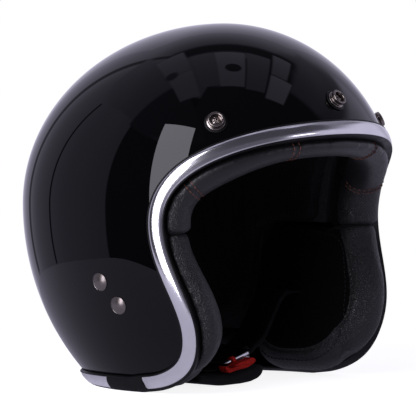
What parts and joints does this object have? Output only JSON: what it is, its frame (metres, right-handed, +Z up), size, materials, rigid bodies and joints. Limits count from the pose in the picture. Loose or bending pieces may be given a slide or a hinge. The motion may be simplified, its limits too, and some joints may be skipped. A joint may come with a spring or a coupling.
{
  "type": "open-face motorcycle helmet",
  "caption": "Open-face motorcycle helmet with a gloss shell, rubber edge trim with a bright strip, snap studs above the brow, padded lining and a double-ring chin strap.",
  "frame": {"origin": "centre of the bounding box in plan, at the ground the helmet stands on", "axes": "+Z up, wearer looks along -Y, wearer's right hand is at -X"},
  "size_m": [0.24, 0.254, 0.2403],
  "materials": {
    "shell": "deep gloss lacquer",
    "foam": "beaded foam",
    "edge_rubber": "satin",
    "bright_strip": "polished",
    "lining": "ribbed cloth",
    "padding": "fine grain",
    "webbing": "woven",
    "stud_metal": "dark nickel",
    "stud_washer": "matt",
    "rivet_metal": "gunmetal",
    "plate_metal": "zinc plated",
    "ring_metal": "bright nickel",
    "tab_ribbon": "woven ribbon",
    "tag_cloth": "woven label"
  },
  "bodies": {
    "helmet": {"outer_shell": "shell", "impact_liner": "foam", "edge_trim_rubber": "edge_rubber", "edge_trim_strip": "bright_strip", "crown_liner": "lining", "brow_band": "padding", "cheek_pad_left": "padding", "cheek_pad_right": "padding", "neck_roll": "padding", "snap_stud_centre": "stud_metal", "snap_stud_right": "stud_metal", "snap_stud_left": "stud_metal", "snap_washers": "stud_washer", "snap_screws": "stud_metal", "snap_nuts": "plate_metal", "rivets_left": "rivet_metal", "rivets_right": "rivet_metal", "anchor_plate_left": "plate_metal", "anchor_plate_right": "plate_metal", "strap_end_left": "webbing", "strap_end_right": "webbing", "trim_tag": "tag_cloth"},
    "chin_strap": {"short_strap": "webbing", "long_strap": "webbing", "chin_pad": "lining", "short_ring": "ring_metal"},
    "release_ring": {"long_ring": "ring_metal"},
    "release_tab": {"pull_tab": "tab_ribbon"}
  },
  "joints": [
    {"name": "chin_strap_swing", "type": "hinge", "parent": "helmet", "child": "chin_strap", "pos_m": [0, -0.0199, 0.058], "axis": [1, 0, 0], "range_deg": [-40, 40]},
    {"name": "ring_lift", "type": "hinge", "parent": "chin_strap", "child": "release_ring", "pos_m": [0.0092, -0.0199, 0.0206], "axis": [0, 1, 0], "range_deg": [0, 25]},
    {"name": "tab_swing", "type": "hinge", "parent": "release_ring", "child": "release_tab", "pos_m": [0.0092, -0.03501, 0.0206], "axis": [-0.9694, 0, -0.2453], "range_deg": [0, 90]}
  ]
}
